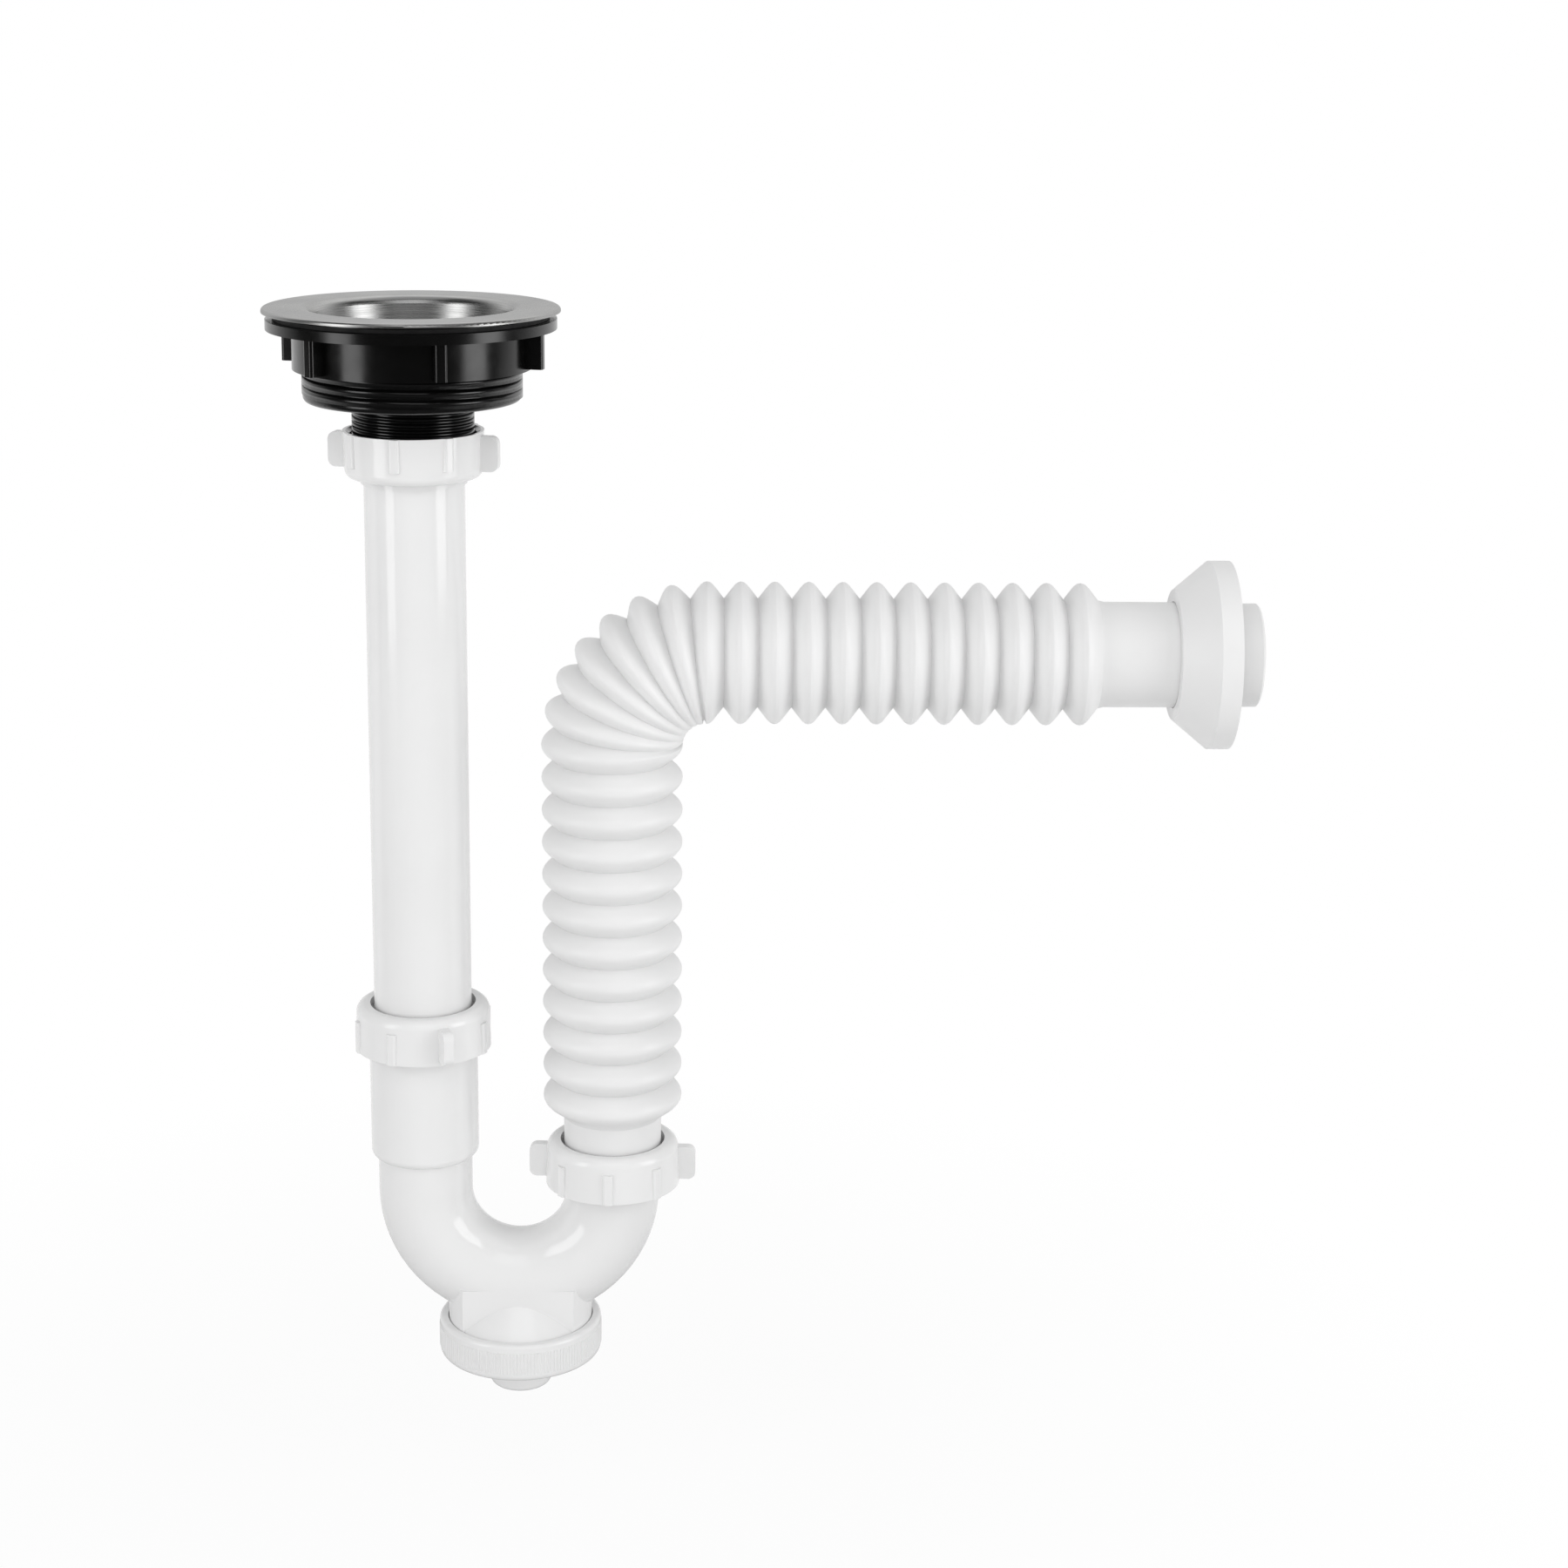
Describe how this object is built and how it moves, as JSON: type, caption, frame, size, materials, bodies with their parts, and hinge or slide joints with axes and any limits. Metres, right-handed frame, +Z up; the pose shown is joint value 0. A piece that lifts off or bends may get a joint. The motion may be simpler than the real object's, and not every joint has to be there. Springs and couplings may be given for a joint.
{
  "type": "semi-rigid trap",
  "caption": "Sink strainer with a down tube, U-bend with clean-out cap, and a corrugated pipe that rises and turns to a wall rosette, for draining a kitchen sink.",
  "frame": {"origin": "on the strainer's axis, at the sink's top face, which the rim gasket lies on", "axes": "+Z up along the strainer and the down tube; +X towards the wall along the outlet spigot"},
  "size_m": [0.3801, 0.112, 0.4381],
  "materials": {
    "steel": "brushed",
    "black_plastic": "satin",
    "white_plastic": "satin",
    "gasket_rubber": "matte",
    "seal_rubber": "matte"
  },
  "bodies": {
    "strainer": {"strainer_rim": "steel", "strainer_body": "black_plastic"},
    "rim_gasket": {"rim_gasket": "gasket_rubber"},
    "locknut": {"locknut": "black_plastic"},
    "union_nut": {"union_nut": "white_plastic"},
    "down_tube": {"down_tube": "white_plastic", "tube_gasket": "seal_rubber"},
    "u_bend": {"u_bend": "white_plastic"},
    "socket_seal": {"socket_seal": "seal_rubber"},
    "socket_nut": {"socket_nut": "white_plastic"},
    "cleanout_gasket": {"cleanout_gasket": "seal_rubber"},
    "cleanout_cap": {"cleanout_cap": "white_plastic"},
    "outlet_seal": {"outlet_seal": "seal_rubber"},
    "outlet_nut": {"outlet_nut": "white_plastic"},
    "flexible_pipe": {"flexible_pipe": "white_plastic"},
    "wall_rosette": {"wall_rosette": "white_plastic"}
  },
  "joints": [
    {"name": "locknut_travel", "type": "slide", "parent": "strainer", "child": "rim_gasket", "axis": [0, 0, -1], "range_m": [0, 0.0111]},
    {"name": "locknut_turn", "type": "hinge", "parent": "rim_gasket", "child": "locknut", "pos_m": [0, 0, 0], "axis": [0, 0, -1], "range_deg": [0, 1080]},
    {"name": "union_nut_turn", "type": "hinge", "parent": "strainer", "child": "union_nut", "pos_m": [0, 0, 0], "axis": [0, 0, -1], "continuous": true},
    {"name": "tube_swivel", "type": "hinge", "parent": "strainer", "child": "down_tube", "pos_m": [0, 0, 0], "axis": [0, 0, 1], "continuous": true},
    {"name": "trap_height", "type": "slide", "parent": "down_tube", "child": "u_bend", "axis": [0, 0, 1], "range_m": [-0.025, 0.01]},
    {"name": "socket_nut_travel", "type": "slide", "parent": "u_bend", "child": "socket_seal", "axis": [0, 0, 1], "range_m": [0, 0.00693]},
    {"name": "socket_nut_turn", "type": "hinge", "parent": "socket_seal", "child": "socket_nut", "pos_m": [0, 0, 0], "axis": [0, 0, 1], "range_deg": [0, 1080]},
    {"name": "cap_travel", "type": "slide", "parent": "u_bend", "child": "cleanout_gasket", "axis": [0, 0, -1], "range_m": [0, 0.009]},
    {"name": "cap_turn", "type": "hinge", "parent": "cleanout_gasket", "child": "cleanout_cap", "pos_m": [0.0375, 0, 0], "axis": [0, 0, -1], "range_deg": [0, 1080]},
    {"name": "outlet_nut_travel", "type": "slide", "parent": "u_bend", "child": "outlet_seal", "axis": [0, 0, 1], "range_m": [0, 0.00693]},
    {"name": "outlet_nut_turn", "type": "hinge", "parent": "outlet_seal", "child": "outlet_nut", "pos_m": [0.075, 0, 0], "axis": [0, 0, 1], "range_deg": [0, 1080]},
    {"name": "pipe_swivel", "type": "hinge", "parent": "u_bend", "child": "flexible_pipe", "pos_m": [0.075, 0, 0], "axis": [0, 0, 1], "range_deg": [-130, 130]},
    {"name": "rosette_slide", "type": "slide", "parent": "flexible_pipe", "child": "wall_rosette", "axis": [1, 0, 0], "range_m": [-0.018, 0.006]}
  ],
  "couplings": [
    {"joint": "locknut_travel", "follows": "locknut_turn", "m_per_rad": 0.00058887},
    {"joint": "socket_nut_travel", "follows": "socket_nut_turn", "m_per_rad": 0.00036749},
    {"joint": "cap_travel", "follows": "cap_turn", "m_per_rad": 0.00047746},
    {"joint": "outlet_nut_travel", "follows": "outlet_nut_turn", "m_per_rad": 0.00036749}
  ]
}
